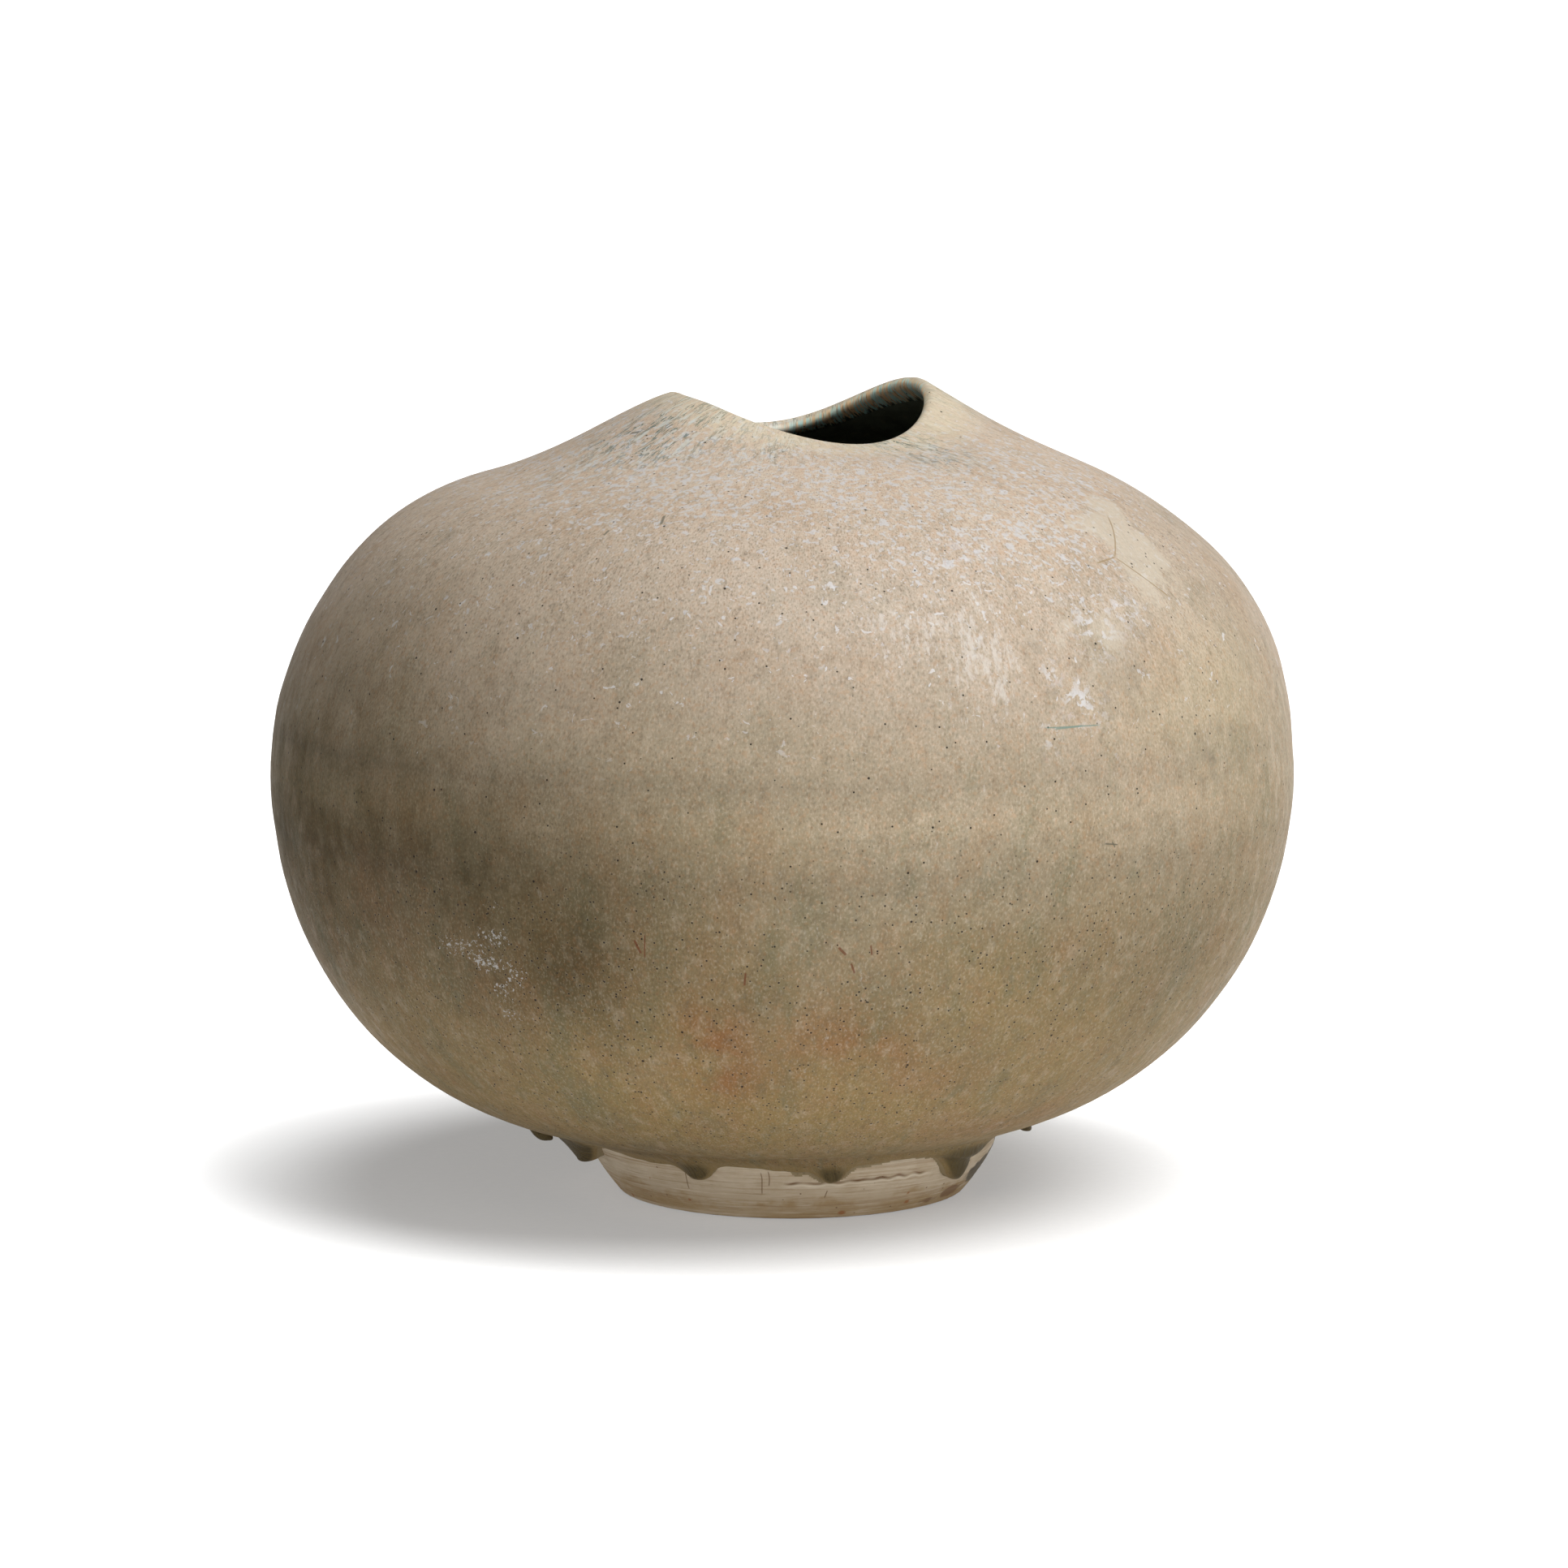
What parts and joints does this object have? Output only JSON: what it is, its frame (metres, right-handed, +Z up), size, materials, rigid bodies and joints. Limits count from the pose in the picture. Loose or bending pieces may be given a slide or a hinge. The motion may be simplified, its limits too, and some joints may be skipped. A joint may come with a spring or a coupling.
{
  "type": "globular pot",
  "caption": "Globular stoneware pot with a narrow wavy mouth, a mottled matte glaze that ends in thick drips above a flared pale foot ring, and a dark glazed inside.",
  "frame": {"origin": "on the table under the middle of the belly, which is also the bottom centre of the bounding box", "axes": "+Z up through the mouth, -Y towards the side that the picture shows, +X to that view's right"},
  "size_m": [0.35, 0.35, 0.2777],
  "materials": {
    "bare_clay": "unglazed, fired grey-brown",
    "pale_slip": "dry brushed slip with turned lines and hairline cracks",
    "outer_glaze": "satin-matte mottled tan and olive with pale flecks",
    "inner_glaze": "dark brown-green, semi-gloss",
    "glaze_run": "thick dark olive, satin"
  },
  "bodies": {
    "root": {"foot_ring": "bare_clay", "lower_bowl": "bare_clay", "upper_dome": "bare_clay", "foot_slip": "pale_slip", "outer_glaze": "outer_glaze", "inner_glaze": "inner_glaze", "glaze_run_01": "glaze_run", "glaze_run_02": "glaze_run", "glaze_run_03": "glaze_run", "glaze_run_04": "glaze_run", "glaze_run_05": "glaze_run", "glaze_run_06": "glaze_run", "glaze_run_07": "glaze_run", "glaze_run_08": "glaze_run", "glaze_run_09": "glaze_run", "glaze_run_10": "glaze_run", "glaze_run_11": "glaze_run"}
  },
  "joints": []
}
